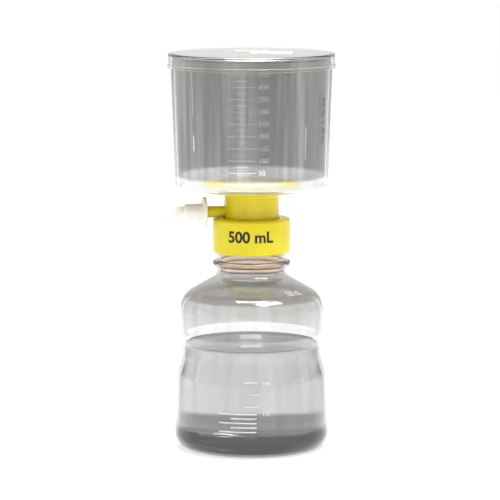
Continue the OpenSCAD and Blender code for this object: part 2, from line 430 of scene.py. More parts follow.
def wrap_nodes(grown: GeometryTree, shape: Any) -> Node:
    """Adds the nodes that bend a flat shape round a leaning wall.

    The shape stands in the XZ plane with Y as its depth, outwards being negative. The tree
    has the inputs Radius and Lean, and the front of the wall faces -Y.

    Args:
        grown: the tree.
        shape: the node or socket with the flat shape.

    Returns:
        The node with the bent shape.
    """
    tree = grown.tree
    place = add_node(tree, "GeometryNodeInputPosition")
    x, y, z = add_node(tree, "ShaderNodeSeparateXYZ", (place,)).outputs
    leaned = add_node(tree, "ShaderNodeMath", (z, grown.given("Lean")), operation="MULTIPLY")
    wall = add_node(tree, "ShaderNodeMath", (grown.given("Radius"), leaned), operation="ADD")
    reach = add_node(tree, "ShaderNodeMath", (wall, y), operation="SUBTRACT")
    angle = add_node(tree, "ShaderNodeMath", (x, wall), operation="DIVIDE")
    sine = add_node(tree, "ShaderNodeMath", (angle,), operation="SINE")
    cosine = add_node(tree, "ShaderNodeMath", (angle,), operation="COSINE")
    across = add_node(tree, "ShaderNodeMath", (sine, reach), operation="MULTIPLY")
    ahead = add_node(tree, "ShaderNodeMath", (cosine, reach), operation="MULTIPLY")
    front = add_node(tree, "ShaderNodeMath", (ahead, -1.0), operation="MULTIPLY")
    bent = add_node(tree, "ShaderNodeCombineXYZ", (across, front, z))
    return add_node(tree, "GeometryNodeSetPosition", {"Geometry": shape, "Position": bent})


@dataclass
class ThreadRidge:
    """A screw thread's ridge: a trapezoid that climbs round the axis and thins out at both ends."""

    root: float
    crest: float
    start: float
    pitch: float = 4.2
    turns: float = 1.5
    width: float = 2.2
    crest_share: float = 0.45
    tip_share: float = 0.12
    growth: float = 14.0

    def build(self, name: str, material: Material) -> Object:
        """Grows the ridge along a spiral.

        Args:
            name: the piece's name.
            material: its finish.

        Returns:
            The ridge, closed at both ends.
        """
        grown = GeometryTree(
            name + "_tree",
            Radius=(self.root + self.crest) / 2 * MM,
            Rise=self.pitch * self.turns * MM,
            Turns=self.turns,
            Start=self.start * MM,
            Depth=abs(self.crest - self.root) * MM,
            Width=self.width * MM,
            Crest=self.width * self.crest_share * MM,
            Lie=math.copysign(math.pi / 2, self.root - self.crest),
        )
        tree, given = grown.tree, grown.given
        path = {
            "Resolution": 96,
            "Rotations": given("Turns"),
            "Start Radius": given("Radius"),
            "End Radius": given("Radius"),
            "Height": given("Rise"),
        }
        spiral = add_node(tree, "GeometryNodeCurveSpiral", path)
        place = add_node(tree, "ShaderNodeCombineXYZ", {2: given("Start")})
        lifted = add_node(tree, "GeometryNodeTransform", {"Geometry": spiral, "Translation": place})
        upright = add_node(tree, "GeometryNodeSetCurveNormal", {"Curve": lifted}, mode="Z_UP")
        along = add_node(tree, "GeometryNodeSplineParameter")
        left = add_node(tree, "ShaderNodeMath", (1.0, along), operation="SUBTRACT")
        end = add_node(tree, "ShaderNodeMath", (along, left), operation="MINIMUM")
        full = add_node(tree, "ShaderNodeMath", (end, self.growth, self.tip_share), operation="MULTIPLY_ADD")
        size = add_node(tree, "ShaderNodeMath", (1.0, full), operation="MINIMUM")
        sides = {"Bottom Width": given("Width"), "Top Width": given("Crest"), "Height": given("Depth")}
        sides["Offset"] = 0.0
        outline = add_node(tree, "GeometryNodeCurvePrimitiveQuadrilateral", sides, mode="TRAPEZOID")
        lie = add_node(tree, "ShaderNodeCombineXYZ", {2: given("Lie")})
        lying = add_node(tree, "GeometryNodeTransform", {"Geometry": outline, "Rotation": lie})
        swept = {"Curve": upright, "Profile Curve": lying, "Scale": size, "Fill Caps": True}
        return grown.run(empty_piece(name), add_node(tree, "GeometryNodeCurveToMesh", swept), material)


@dataclass
class Scale:
    """Graduation lines on a round wall: long ones with a short one between each two.

    The wall's radius grows evenly with the height. The lines run round it from left to
    right of the front.
    """

    first: float
    step: float
    count: int
    long_span: tuple[float, float]
    short_span: tuple[float, float]
    thick: float
    radius: float
    lean: float
    proud: float = 0.05

    def build(self, name: str, material: Material) -> Object:
        """Grows the lines up the wall and wraps them round it.

        Args:
            name: the piece's name.
            material: their finish.

        Returns:
            The lines as one piece.
        """
        parts = []
        for label, (left, right), first, count in (
            ("long", self.long_span, self.first, self.count),
            ("short", self.short_span, self.first + self.step / 2, self.count - 1),
        ):
            grown = GeometryTree(
                f"{name}_{label}_tree",
                Count=count,
                First=first * MM,
                Step=self.step * MM,
                Middle=(left + right) / 2 * MM,
                Wide=(right - left) * MM,
                Thick=self.thick * MM,
                Proud=self.proud * MM,
                Radius=self.radius * MM,
                Lean=self.lean,
            )
            tree, given = grown.tree, grown.given
            low = add_node(tree, "ShaderNodeCombineXYZ", {2: given("First")})
            rise = add_node(tree, "ShaderNodeCombineXYZ", {2: given("Step")})
            row = {"Count": given("Count"), "Start Location": low, "Offset": rise}
            posts = add_node(tree, "GeometryNodeMeshLine", row)
            size = add_node(tree, "ShaderNodeCombineXYZ", (given("Wide"), given("Proud"), given("Thick")))
            cube = {"Size": size, "Vertices X": 24, "Vertices Y": 2, "Vertices Z": 2}
            bar = add_node(tree, "GeometryNodeMeshCube", cube)
            aside = add_node(tree, "ShaderNodeCombineXYZ", (given("Middle"),))
            moved = add_node(tree, "GeometryNodeTransform", {"Geometry": bar, "Translation": aside})
            bars = add_node(tree, "GeometryNodeInstanceOnPoints", {"Points": posts, "Instance": moved})
            flat = add_node(tree, "GeometryNodeRealizeInstances", (bars,))
            parts.append(grown.run(empty_piece(f"{name}_{label}"), wrap_nodes(grown, flat), material))
        made = joined(name, parts)
        made.data.transform(Matrix.Rotation(math.radians(FRONT), 4, "Z"))
        return made


@dataclass
class Print:
    """Plain raised or printed characters on a round wall.

    They start to the right of the line at angle, by the distance across, or are centred on
    that line when they stand upright. Strips as wide as slice let them bend with the wall.
    """

    text: str
    size: float
    z: float
    radius: float
    lean: float
    across: float = 0.0
    angle: float = FRONT
    upright: bool = False
    bold: float = 0.0
    proud: float = 0.05
    slice: float = 0.6

    def build(self, name: str, material: Material) -> Object:
        """Makes the characters flat, slices them finely and wraps them round the wall.

        Args:
            name: the piece's name.
            material: their finish.

        Returns:
            The characters, turned to their place on the wall.
        """
        curve = bpy.data.curves.new(name, "FONT")
        curve.body, curve.size = self.text, self.size * MM
        curve.align_x, curve.align_y = ("CENTER" if self.upright else "LEFT"), "CENTER"
        curve.offset, curve.extrude = self.bold * MM, self.proud * MM / 2
        flat = bpy.data.objects.new(name, curve)
        bpy.context.scene.collection.objects.link(flat)
        bpy.context.view_layer.update()
        mesh = bpy.data.meshes.new_from_object(flat)
        bpy.data.objects.remove(flat)
        mesh.transform(Matrix.Rotation(math.pi / 2, 4, "X"))
        if self.upright:
            mesh.transform(Matrix.Rotation(math.pi / 2, 4, "Y"))
        mesh.transform(Matrix.Translation((self.across * MM, 0, self.z * MM)))
        sliced = bmesh.new()
        sliced.from_mesh(mesh)
        bmesh.ops.remove_doubles(sliced, verts=sliced.verts, dist=SAME)
        left, right = min(v.co.x for v in sliced.verts), max(v.co.x for v in sliced.verts)
        for k in range(1, int((right - left) / (self.slice * MM)) + 1):
            whole = sliced.verts[:] + sliced.edges[:] + sliced.faces[:]
            at = (left + k * self.slice * MM, 0, 0)
            bmesh.ops.bisect_plane(sliced, geom=whole, plane_co=at, plane_no=(1, 0, 0))
        sliced.to_mesh(mesh)
        sliced.free()
        piece = new_object(name, mesh)
        grown = GeometryTree(name + "_tree", Radius=self.radius * MM, Lean=self.lean)
        grown.run(piece, wrap_nodes(grown, grown.given("Geometry")), material)
        outward(piece.data)
        piece.data.transform(Matrix.Rotation(math.radians(self.angle), 4, "Z"))
        return piece


@dataclass
class StudRing:
    """Round studs that stand evenly on a circle."""

    count: int
    circle: float
    radius: float
    low: float
    high: float
    angle: float

    def build(self, name: str, material: Material) -> Object:
        """Grows one stud on each point of the circle.

        Args:
            name: the piece's name.
            material: their finish.

        Returns:
            The studs as one piece.
        """
        grown = GeometryTree(
            name + "_tree",
            Count=self.count,
            Circle=self.circle * MM,
            Radius=self.radius * MM,
            Height=(self.high - self.low) * MM,
            Middle=(self.high + self.low) / 2 * MM,
            Turn=math.radians(self.angle),
        )
        tree, given = grown.tree, grown.given
        ring = {"Vertices": given("Count"), "Radius": given("Circle")}
        circle = add_node(tree, "GeometryNodeMeshCircle", ring)
        lift = add_node(tree, "ShaderNodeCombineXYZ", {2: given("Middle")})
        turn = add_node(tree, "ShaderNodeCombineXYZ", {2: given("Turn")})
        moved = {"Geometry": circle, "Translation": lift, "Rotation": turn}
        placed = add_node(tree, "GeometryNodeTransform", moved)
        round_bar = {"Vertices": 24, "Radius": given("Radius"), "Depth": given("Height")}
        stud = add_node(tree, "GeometryNodeMeshCylinder", round_bar)
        studs = add_node(tree, "GeometryNodeInstanceOnPoints", {"Points": placed, "Instance": stud})
        return grown.run(empty_piece(name), studs, material)


# ---------------------------------------------------------------- finishes


class Surface:
    """A material in the making: a Principled shader with its coats of colour and its relief."""

    def __init__(self, name: str, **values: Any) -> None:
        """Starts the material.

        Args:
            name: the material's name.
            **values: the shader's plain inputs, with _ for each space in their names.
        """
        self.material = bpy.data.materials.new(name)
        self.material.use_nodes = True
        self.tree = self.material.node_tree
        self.tree.nodes.clear()
        plain = {key.replace("_", " "): value for key, value in values.items()}
        self.shader = add_node(self.tree, "ShaderNodeBsdfPrincipled", plain)
        add_node(self.tree, "ShaderNodeOutputMaterial", {"Surface": self.shader})
        self.place = add_node(self.tree, "ShaderNodeTexCoord").outputs["Object"]

    def coat(self, base: str, *coats: tuple[Any, str]) -> None:
        """Lays coats of other tints over a base colour.

        Args:
            base: the colour where no coat lies.
            *coats: each coat's share, from 0 to 1, and its colour.
        """
        tint: Any = linear(base)
        # A colour mix takes its share at input 0 and its colours at 6 and 7, and gives output 2.
        for share, colour in coats:
            mix = {0: share, 6: tint, 7: linear(colour)}
            tint = add_node(self.tree, "ShaderNodeMix", mix, data_type="RGBA").outputs[2]
        self.tree.links.new(tint, self.shader.inputs["Base Color"])

    def emboss(self, height: NodeSocket, depth: float) -> None:
        """Gives the surface a fine relief.

        Args:
            height: the pattern whose light parts stand up.
            depth: how deep it is.
        """
        relief = {"Height": height, "Strength": 1.0, "Distance": depth * MM}
        bump = add_node(self.tree, "ShaderNodeBump", relief)
        self.tree.links.new(bump.outputs[0], self.shader.inputs["Normal"])


@dataclass(frozen=True)
class Grain:
    """A soft random pattern through a piece, with the real size of its lumps along x, y and z."""

    size: tuple[float, float, float]
    detail: float = 2.0
    harsh: float = 0.5

    def lay(self, surface: Surface) -> NodeSocket:
        """Adds the pattern to a material.

        Args:
            surface: the material.

        Returns:
            The socket with the pattern, from 0 to 1.
        """
        per_metre = [1 / (size * MM) for size in self.size]
        place = add_node(surface.tree, "ShaderNodeMapping", {"Vector": surface.place, "Scale": per_metre})
        noise = {"Vector": place, "Scale": 1.0, "Detail": self.detail, "Roughness": self.harsh}
        return add_node(surface.tree, "ShaderNodeTexNoise", noise).outputs["Fac"]

    def share(self, surface: Surface, low: float, high: float, start: float = 0, end: float = 1) -> Node:
        """Adds the pattern to a material, with a smooth step over it.

        Args:
            surface: the material.
            low: the pattern's value where the step starts.
            high: the pattern's value where it ends.
            start: what the step gives below low.
            end: what it gives above high.

        Returns:
            The node of the step.
        """
        limits = (self.lay(surface), low, high, start, end)
        return add_node(surface.tree, "ShaderNodeMapRange", limits, interpolation_type="SMOOTHSTEP")


@dataclass(frozen=True)
class Band:
    """A belt of another tint between two heights, which fades out over soft below and fade above."""

    low: float
    high: float
    soft: float
    colour: str
    fade: float | None = None

    def share(self, surface: Surface, height: NodeSocket) -> Node:
        """Adds the belt to a material.

        Args:
            surface: the material.
            height: the height along the unit's axis.

        Returns:
            The node with 1 inside the belt and 0 away from it.
        """
        below = (height, (self.low - self.soft) * MM, self.low * MM, 0, 1)
        fade = self.soft if self.fade is None else self.fade
        above = (height, self.high * MM, (self.high + fade) * MM, 1, 0)
        ends = [
            add_node(surface.tree, "ShaderNodeMapRange", limits, interpolation_type="SMOOTHSTEP")
            for limits in (below, above)
        ]
        return add_node(surface.tree, "ShaderNodeMath", ends, operation="MULTIPLY")


@dataclass(frozen=True)
class ClearPlastic:
    """Clear moulded plastic.

    To the eye: clear and glossy, with upright streaks of painted reflection, a ripple that
    bends what lies behind it, and a darker rim of painted shade where the wall is seen edge on.
    """

    name: str
    tint: str
    reflection_streak: str
    edge: str
    ior: float
    streak_width: float
    ripple: float
    bands: tuple[Band, ...] = ()
    streak_length: float = 33.33
    roughness: float = 0.03

    def build(self) -> Material:
        """Returns the material."""
        made = Surface(self.name, Roughness=self.roughness, IOR=self.ior, Transmission_Weight=1.0)
        coats = []
        # Painted reflections: upright streaks in the reflection colour.
        for width, low, high in ((self.streak_width, 0.42, 0.66), (self.streak_width * 3.5, 0.45, 0.62)):
            streaks = Grain((width, width, width * self.streak_length), harsh=0.55)
            coats.append((streaks.share(made, low, high), self.reflection_streak))
        height = add_node(made.tree, "ShaderNodeSeparateXYZ", (made.place,)).outputs["Z"]
        coats += [(band.share(made, height), band.colour) for band in self.bands]
        # Painted shade: the rim darkens where the wall is seen edge on.
        facing = add_node(made.tree, "ShaderNodeLayerWeight", {"Blend": 0.5}).outputs["Facing"]
        limits = (facing, 0.6, 0.9, 0, 1)
        edge_on = add_node(made.tree, "ShaderNodeMapRange", limits, interpolation_type="SMOOTHSTEP")
        made.coat(self.tint, *coats, (edge_on, self.edge))
        made.emboss(Grain((7.692, 7.692, 125)).lay(made), self.ripple)
        return made.material


@dataclass(frozen=True)
class StillWater:
    """Clear filtered water.

    To the eye: a lens that bends all behind it, with no ripple of its own, all but
    colourless through its depth, and greyed at its top surface by painted shade.
    """

    name: str = "filtered_water"
    tint: str = "#FBFCFC"
    haze: str = "#F3F4F4"
    top: str = "#868685"

    def build(self) -> Material:
        """Returns the material."""
        made = Surface(self.name, Roughness=0.0, IOR=1.333, Transmission_Weight=1.0)
        haze = Grain((16.67, 16.67, 16.67), detail=4.0).share(made, 0.3, 0.7)
        height = add_node(made.tree, "ShaderNodeSeparateXYZ", (made.place,)).outputs["Z"]
        # Painted shade: the top surface takes the darker top colour.
        limits = (height, (WATER_Z - 0.6) * MM, (WATER_Z - 0.2) * MM, 0, 1)
        skin = add_node(made.tree, "ShaderNodeMapRange", limits, interpolation_type="SMOOTHSTEP")
        made.coat(self.tint, (haze, self.haze), (skin, self.top))
        return made.material


@dataclass(frozen=True)
class MouldedPlastic:
    """Opaque or milky injection-moulded plastic or rubber.

    To the eye: a satin skin with a fine orange peel that breaks up its highlights, and soft
    clouds of a second shade where the melt cooled unevenly.
    """

    name: str
    colour: str
    shade: str
    roughness: float = 0.34
    grain: float = 0.7
    depth: float = 0.012
    clear: float = 0.0
    under: float = 0.0

    def build(self) -> Material:
        """Returns the material."""
        made = Surface(
            self.name,
            IOR=1.49,
            Transmission_Weight=self.clear,
            Subsurface_Weight=self.under,
            Subsurface_Radius=(0.0025, 0.0022, 0.0016),
            Subsurface_Scale=1.0,
        )
        clouds = Grain((14.286, 14.286, 22.22), detail=4.0).share(made, 0.3, 0.75)
        made.coat(self.colour, (clouds, self.shade))
        peel = Grain((self.grain,) * 3)
        rough = peel.share(made, 0.2, 0.8, self.roughness - 0.05, self.roughness + 0.06)
        made.tree.links.new(rough.outputs[0], made.shader.inputs["Roughness"])
        made.emboss(peel.lay(made), self.depth)
        return made.material


@dataclass(frozen=True)
class MembraneFilm:
    """Cast polymer membrane.

    To the eye: chalky white and matt, drawn with coarser pores than the real ones so that
    they show, with the flange's yellow painted on as light glowing through it in a ring where
    it lies over the flange, past the white grid.
    """

    name: str = "membrane_film"
    colour: str = "#FDFDFF"
    flange_glow_through: str = "#FFE77C"
    grid_r: float = 25.0

    def build(self) -> Material:
        """Returns the material."""
        made = Surface(self.name, Roughness=0.85)
        flat = add_node(made.tree, "ShaderNodeVectorMath", (made.place, (1, 1, 0)), operation="MULTIPLY")
        away = add_node(made.tree, "ShaderNodeVectorMath", (flat,), operation="LENGTH").outputs["Value"]
        # Painted light: the flange's yellow glowing through the film, in a ring.
        past_grid = (away, (self.grid_r - 12) * MM, self.grid_r * MM, 0.2, 1)
        on_flange = (away, (FLANGE_R - 0.5) * MM, (FLANGE_R + 2.5) * MM, 1, 0)
        ends = [
            add_node(made.tree, "ShaderNodeMapRange", limits, interpolation_type="SMOOTHSTEP")
            for limits in (past_grid, on_flange)
        ]
        ring = add_node(made.tree, "ShaderNodeMath", ends, operation="MULTIPLY")
        pores = Grain((0.7143, 0.7143, 0.7143), detail=3.0)
        uneven = pores.share(made, 0.2, 0.8, 0.75, 1)
        mottled = add_node(made.tree, "ShaderNodeMath", (ring, uneven), operation="MULTIPLY")
        made.coat(self.colour, (mottled, self.flange_glow_through))
        made.emboss(pores.lay(made), 0.02)
        return made.material


@dataclass(frozen=True)
class PackedFibre:
    """Packed hydrophobic fibre, as in a vent's plug.

    To the eye: soft and matt, with short hairs that lie along the vent, drawn thicker than
    the real ones so that they show.
    """

    name: str = "packed_fibre"
    colour: str = "#EFEDE6"
    shade: str = "#CFCBBF"

    def build(self) -> Material:
        """Returns the material."""
        made = Surface(self.name, Roughness=0.95, Sheen_Weight=0.3)
        hairs = Grain((1.667, 0.25, 0.25), detail=4.0).lay(made)
        made.coat(self.colour, (hairs, self.shade))
        made.emboss(hairs, 0.08)
        return made.material


@dataclass(frozen=True)
class PrintInk:
    """Pad-printed ink.

    To the eye: a thin satin film, flecked with a lighter tone where the pad laid it on
    thinly, and, where a fade is given, thinning to see-through towards the top.
    """

    name: str
    colour: str
    thin: str
    ink_fade: tuple[float, float, float, float] | None = None

    def build(self) -> Material:
        """Returns the material. The fade is two heights and how well the ink covers at each."""
        made = Surface(self.name, Roughness=0.45)
        if self.ink_fade is not None:
            low, high, full, least = self.ink_fade
            height = add_node(made.tree, "ShaderNodeSeparateXYZ", (made.place,)).outputs["Z"]
            limits = (height, low * MM, high * MM, full, least)
            cover = add_node(made.tree, "ShaderNodeMapRange", limits, interpolation_type="SMOOTHSTEP")
            made.tree.links.new(cover.outputs[0], made.shader.inputs["Alpha"])
        flecks = Grain((1.111, 1.111, 1.111)).share(made, 0.45, 0.8)
        made.coat(self.colour, (flecks, self.thin))
        return made.material


# Blown copolyester: almost colourless, with a light grey cast painted in as shade for the
# room seen through it, streaks of painted reflection and a rim of painted shade. Painted
# shade darkens the heel, a painted highlight keeps the wall just over the filtrate bright,
# painted shade greys the shoulder with a warm painted reflection of the yellow funnel, and
# painted red-brown and flesh-toned reflections lie round the neck and on its bead.
BOTTLE_PLASTIC = ClearPlastic(
    "clear_copolyester_bottle",
    "#D8D8D7",
    "#CECECC",
    "#808080",
    ior=1.57,
    streak_width=9,
    ripple=0.03,
    bands=(
        # Painted shade on the heel.
        Band(3, 13.2, 4, "#7A7A7A", fade=3),
        # Painted highlight on the wall just over the filtrate.
        Band(65.6, 71.5, 1.0, "#FFFFFF"),
        # Painted shade on the shoulder, warmed by a painted reflection of the yellow funnel.
        Band(95, 97.5, 1.5, "#AAA59E", fade=12),
        # Painted red-brown reflection round the neck.
        Band(111.4, 111.8, 0.4, "#A06460"),
        # Painted flesh-toned reflection on the bead.
        Band(113.6, 118.4, 0.8, "#E6CDB4"),
    ),
)
# Moulded polystyrene: a grey cast painted in as shade for the room seen through it, close
# streaks of painted reflection, a rim of painted shade, and a painted highlight that clears
# the foot round the membrane so that the membrane shows bright.
CHAMBER_PLASTIC = ClearPlastic(
    "clear_polystyrene_chamber",
    "#C4C4C2",
    "#A5A5A3",
    "#C0C0BE",
    ior=1.59,
    streak_width=4,
    ripple=0.03,
    # Painted highlight: the wall's foot left clear so the membrane behind it shows bright.
    bands=(Band(0, 169.2, 2.6, "#FFFFFF"),),
)
# The same plastic in a thin flat moulding: all but colourless, with faint streaks of painted
# reflection, and grey only at its rim, where painted shade darkens it seen edge on.
LID_PLASTIC = ClearPlastic(
    "clear_polystyrene_lid", "#FAFAF7", "#F0F0EC", "#B4B4B0", ior=1.59, streak_width=8, ripple=0.005
)
# Coloured polypropylene: the funnel is a deeper yellow than the collar, both satin.
FUNNEL_PLASTIC = MouldedPlastic("yellow_polypropylene_funnel", "#D4C200", "#CBB800")
COLLAR_PLASTIC = MouldedPlastic("lemon_polypropylene_collar", "#E0CF00", "#D9C800")
# Uncoloured polyethylene: milky ivory, waxy, with light in its thin edges.
ADAPTER_PLASTIC = MouldedPlastic(
    "natural_polyethylene_adapter", "#FAF7EC", "#F3EEE1", roughness=0.42, clear=0.15, under=0.2
)
# The bottle's plastic with a matt white face on its raised marks: a painted highlight where
# they catch the light.
MARKS_PAINTED_HIGHLIGHT = MouldedPlastic(
    "raised_marks_painted_highlight", "#FAFAF8", "#E8E8E6", roughness=0.5, clear=0.3, under=0.35
)
# White polypropylene: a plain matt grid that keeps the membrane's middle white.
GRID_PLASTIC = MouldedPlastic("white_polypropylene_grid", "#EFEFED", "#E8E8E6", roughness=0.5)
# Silicone: a dull, finely grained grey-white ring.
GASKET_RUBBER = MouldedPlastic("silicone_gasket", "#DCDCD6", "#D2D2CB", roughness=0.6, grain=0.4)
# Inks: black on the collar, dark grey up the chamber's side, and pale on the scale, where
# it thins to little cover above its second line.
BLACK_INK = PrintInk("black_pad_ink", "#141410", "#1E1E16")
PALE_INK = PrintInk("pale_pad_ink", "#F4F5F7", "#D8DADD", ink_fade=(176, 187, 0.85, 0.21))
GREY_INK = PrintInk("dark_pad_ink", "#2E2E32", "#46464A")


# ---------------------------------------------------------------- the unit's pieces


def place(piece: Object, body: Body, slot: Slot | None, replaced: Iterable[str] = ()) -> None:
    """Lets a finished piece ride on a body, and hides the CAD nodes that it stands for.

    Args:
        piece: the finished piece.
        body: the body that it moves with.
        slot: not used.
        replaced: the CAD nodes that it stands for.
    """
    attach(piece, body.value)
    for node_name in replaced:
        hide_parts(node_name)
    LOG.info("%s: %d faces, rides on %s", piece.name, len(piece.data.polygons), body.value)


def lay_on_arm(mesh: Mesh) -> None:
    """Lays a mesh that was turned round the unit's axis along the side arm's."""
    mesh.transform(Matrix.Translation((0, 0, ARM_Z * MM)) @ Matrix.Rotation(-math.pi / 2, 4, "Y"))


@dataclass
class ReceiverBottle:
    """The clear waisted bottle, with its filtrate and its raised marks."""

    wall: float = 1.5
    water_gap: float = 0.05
    meniscus: float = 1.0
    meniscus_reach: float = 0.9
    punt_z: float = 2.6
    heel_r: float = 48.4
    body_r: float = 46.3
    body_z: float = 47.5
    waist_r: float = 43.2
    chest_r: float = 44.6
    chest_z: float = 95.389
    neck_r: float = 21.0
    neck_z: float = 108.85
    bead_r: float = 24.2
    bead_low: float = 114.25
    bead_high: float = 117.85
    marks_out: float = 0.05
    reading_out: float = 0.15
    lip_z: float = cad_end("receiver_bottle", HIGH, "z")

    def outer(self) -> list[Corner]:
        """Returns the outer outline, from the middle of the underside to the neck's foot."""
        return [
            Corner(0, self.punt_z),
            Corner(24, self.punt_z, 6),
            Corner(32, 0, 4),
            Corner(self.heel_r, 0, 10.3),
            Corner(self.body_r, self.body_z, 20),
            Corner(self.waist_r, 58, 16),
            Corner(self.waist_r, 70, 20),
            Corner(self.chest_r, 86, 20),
            Corner(self.chest_r, self.chest_z, 13.8),
            Corner(self.neck_r, self.neck_z, 5),
        ]

    def bead(self) -> list[Corner]:
        """Returns the outline of the bead under the collar."""
        return [
            Corner(self.neck_r, self.bead_low, 0.5),
            Corner(self.bead_r, self.bead_low, 1.6),
            Corner(self.bead_r, self.bead_high, 1.6),
            Corner(self.neck_r, self.bead_high, 0.5),
        ]

    def build_glass(self, finish: Material) -> Object:
        """Builds the bottle's wall with its bead and thread.

        Args:
            finish: the bottle's plastic.

        Returns:
            The bottle.
        """
        lip = [Corner(self.neck_r, self.lip_z, 0.5)]
        inside = moved_left(self.outer() + [Corner(self.neck_r, self.lip_z)], self.wall)
        inside[-1] = Corner(inside[-1].r, self.lip_z, 0.5)
        outline = rounded(self.outer() + self.bead() + lip + inside[::-1], closed=False, steps=12)
        bottle = new_object("bottle", turned(outline, 240), finish)
        grow_on(bottle, ThreadRidge(root=19.8, crest=22.1, start=129.65).build("bottle_thread", finish))
        return bottle

    def build_water(self, finish: Material) -> Object:
        """Builds the filtrate with the curved edge where it climbs the wall.

        Args:
            finish: the water.

        Returns:
            The filtrate.
        """
        wetted = rounded(moved_left(self.outer(), self.wall + self.water_gap), closed=False, steps=12)
        side = [p for p in wetted if p.y < WATER_Z - self.meniscus]
        steps = [0, 0.15, 0.35, 0.6, 1, 1.5, 2.2, 3.2, 4.5, 6.5]
        rise = [self.meniscus * math.exp(-step / self.meniscus_reach) for step in steps]
        climb = [Vector((side[-1].x - step, WATER_Z + up)) for step, up in zip(steps, rise)]
        return new_object("water", turned(side + climb + [Vector((0, WATER_Z))]), finish)

    def build_marks(self, finish: Material) -> Object:
        """Builds the raised volume lines and figures on the body and the shoulder.

        Args:
            finish: the marks' matt white face, a painted highlight.

        Returns:
            The marks as one piece.
        """
        wall = {"radius": self.heel_r + self.marks_out, "lean": (self.body_r - self.heel_r) / self.body_z}
        lines = {
            "bottle_lines_low": Scale(17.5, 5.5, 3, (-20.5, 3), (-13, 3), thick=0.75, proud=0.3, **wall),
            "bottle_lines_high": Scale(33, 15, 2, (-5, 4), (-1, 4), thick=0.5, proud=0.2, **wall),
        }
        lean = (self.neck_r - self.chest_r) / (self.neck_z - self.chest_z)
        shoulder = {"radius": self.chest_r + self.reading_out - lean * self.chest_z, "lean": lean}
        figures = {
            "bottle_figures_100": Print("100", size=3.4, z=28.5, across=6.5, proud=0.16, **wall),
            "bottle_figures_200": Print("200", size=3.4, z=47.1, across=6.5, proud=0.16, **wall),
            "bottle_shoulder_figures": Print(
                "500 mL", size=3.8, z=100.2, across=-6, angle=38.5, proud=0.35, **shoulder
            ),
        }
        parts = [mark.build(name, finish) for name, mark in (lines | figures).items()]
        return joined("bottle_marks", parts)

    def dress(self, glass: Material, water: Material, marks_highlight: Material) -> None:
        """Builds the bottle's pieces and lets them ride on its body.

        Args:
            glass: the bottle's plastic.
            water: the filtrate.
            marks_highlight: the raised marks' matt white face, a painted highlight.
        """
        place(self.build_glass(glass), Body.BOTTLE, Slot.BOTTLE, ["receiver_bottle"])
        place(self.build_water(water), Body.BOTTLE, Slot.LIQUID, ["filtrate"])
        # The marks' white face is a painted highlight.
        place(self.build_marks(marks_highlight), Body.BOTTLE, None)


@dataclass
class UpperChamber:
    """The clear chamber with its studs, its printed scale and its side print."""

    foot_r: float = 47.3
    rim_r: float = 50.2
    wall: float = 1.6
    floor: float = 1.2
    outlet_r: float = 26.0
    stud_circle: float = 32.4
    stud_r: float = 0.6
    stud_height: float = 2.5
    stud_root: float = 0.4
    scale_z: float = 176.5
    scale_step: float = 7.45
    scale_lines: int = 9
    foot_z: float = cad_end("upper_chamber", LOW, "z")
    rest_gap: float = 0.03
    contact: float = 0.015

    def lean(self) -> float:
        """Returns how much the wall's radius grows for each unit of height."""
        return (self.rim_r - self.foot_r) / (RIM_Z - self.foot_z)

    def printed(self) -> dict[str, float]:
        """Returns the cone that ink on the wall lies on: its radius at height 0, and its lean."""
        return {"radius": self.foot_r - self.lean() * self.foot_z + INK_GAP, "lean": self.lean()}

    def build_wall(self, finish: Material) -> Object:
        """Builds the chamber's wall, floor and studs.

        Args:
            finish: the chamber's plastic.

        Returns:
            The chamber.
        """
        low, floor = self.foot_z - self.contact, self.foot_z + self.floor + self.contact
        rim = RIM_Z - self.rest_gap
        outline = rounded(
            [
                Corner(self.outlet_r, low, 0.1),
                Corner(self.foot_r, low, 3.0),
                Corner(self.rim_r, rim, 0.5),
                Corner(self.rim_r - self.wall, rim, 0.5),
                Corner(self.foot_r - self.wall, floor, 1.4),
                Corner(self.outlet_r, floor, 0.1),
            ],
            closed=True,
            steps=10,
        )
        chamber = new_object("chamber", turned(outline, 240, ring=True), finish)
        root, tip = floor - self.stud_root, self.foot_z + self.stud_height
        studs = StudRing(count=4, circle=self.stud_circle, radius=self.stud_r, low=root, high=tip, angle=24)
        grow_on(chamber, studs.build("chamber_studs", finish))
        return chamber

    def build_scale(self, ink: Material) -> Object:
        """Builds the printed lines and figures of the volume scale.

        Args:
            ink: the pale ink.

        Returns:
            The scale as one piece.
        """
        first, step, count = self.scale_z, self.scale_step, self.scale_lines
        lines = Scale(first, step, count, (-14.5, 2.5), (-10.2, -2.4), thick=0.4, **self.printed())
        parts = [lines.build("scale_lines", ink)]
        for k in range(count):
            figures = Print(str(50 * (k + 1)), size=4.4, z=first + step * k, across=4.0, **self.printed())
            parts.append(figures.build(f"scale_figures_{k}", ink))
        return joined("chamber_scale", parts)

    def build_side_print(self, ink: Material) -> Object:
        """Builds the upright line of figures at the chamber's right.

        Args:
            ink: the dark ink.

        Returns:
            The print.
        """
        text = "500 mL  x  50 mL"
        line = Print(text, size=4.0, z=206, angle=57, upright=True, bold=0.11, **self.printed())
        return line.build("chamber_side_print", ink)

    def dress(self, plastic: Material, pale: Material, dark: Material) -> None:
        """Builds the chamber's pieces and lets them ride on the head.

        Args:
            plastic: the chamber's plastic.
            pale: the scale's ink.
            dark: the side print's ink.
        """
        place(self.build_wall(plastic), Body.HEAD, Slot.CHAMBER, ["upper_chamber"])
        place(self.build_scale(pale), Body.HEAD, None)
        place(self.build_side_print(dark), Body.HEAD, None)


